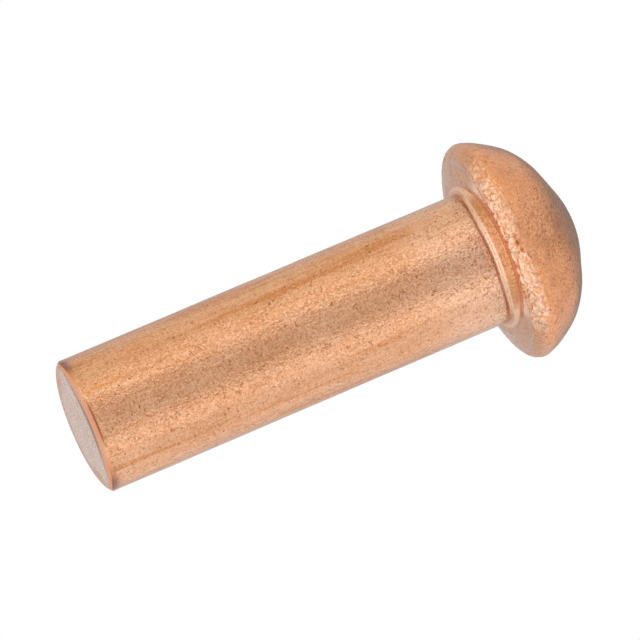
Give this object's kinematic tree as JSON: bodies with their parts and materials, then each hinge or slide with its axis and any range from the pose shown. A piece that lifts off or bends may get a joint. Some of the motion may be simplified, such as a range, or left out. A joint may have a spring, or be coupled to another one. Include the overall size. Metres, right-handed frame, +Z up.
{
  "type": "round head rivet",
  "caption": "Solid copper round head rivet: a plain cylindrical shank with a rounded tail edge under a domed head, for joining sheet or plate.",
  "frame": {"origin": "centre of the flat tail end, which the rivet stands on", "axes": "+Z up the middle of the shank to the crown of the head; X and Y are equivalent"},
  "size_m": [0.0084, 0.0084, 0.0195],
  "materials": {
    "copper": "tumbled satin"
  },
  "bodies": {
    "root": {"rivet": "copper"}
  },
  "joints": []
}
